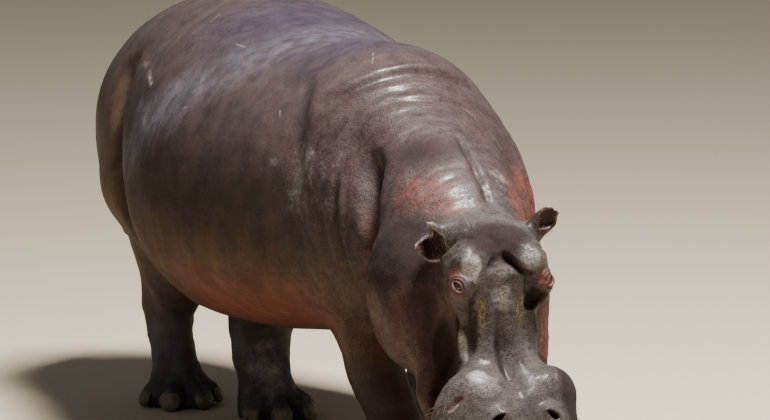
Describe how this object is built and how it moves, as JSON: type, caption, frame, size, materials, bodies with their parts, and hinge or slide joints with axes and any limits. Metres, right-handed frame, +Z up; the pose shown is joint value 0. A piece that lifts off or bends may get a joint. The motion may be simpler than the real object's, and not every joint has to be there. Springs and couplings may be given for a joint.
{
  "type": "hippopotamus",
  "caption": "Still life-size hippopotamus walking with its head carried low and turned slightly, a museum-like model that stands on its own feet.",
  "frame": {"origin": "centre of the animal's bounding box, at the ground under its feet", "axes": "+Z up, the animal faces -Y, and its left side is +X"},
  "size_m": [1.2008, 3.2012, 1.4917],
  "materials": {
    "back_hide": "satin purplish brown-grey hide, slightly wet",
    "neck_hide": "satin grey-brown hide with pink patches",
    "head_hide": "satin dark grey hide, pink round the eyes",
    "jaw_hide": "satin pinkish-brown hide",
    "leg_hide": "dull dark grey-brown hide",
    "ear_hide": "satin orange-pink skin",
    "tail_hide": "dull dark hide",
    "toenail": "satin olive-grey horn",
    "eye_brown": "glossy dark brown eye"
  },
  "bodies": {
    "root": {"ear_left": "ear_hide", "ear_right": "ear_hide", "eye_left": "eye_brown", "eye_right": "eye_brown", "head": "head_hide", "leg_front_left": "leg_hide", "leg_front_right": "leg_hide", "leg_hind_left": "leg_hide", "leg_hind_right": "leg_hide", "lower_jaw": "jaw_hide", "nail_front_left_1": "toenail", "nail_front_left_2": "toenail", "nail_front_left_3": "toenail", "nail_front_left_4": "toenail", "nail_front_right_1": "toenail", "nail_front_right_2": "toenail", "nail_front_right_3": "toenail", "nail_front_right_4": "toenail", "nail_hind_left_1": "toenail", "nail_hind_left_2": "toenail", "nail_hind_left_3": "toenail", "nail_hind_left_4": "toenail", "nail_hind_right_1": "toenail", "nail_hind_right_2": "toenail", "nail_hind_right_3": "toenail", "nail_hind_right_4": "toenail", "neck": "neck_hide", "tail": "tail_hide", "trunk": "back_hide"}
  },
  "joints": []
}
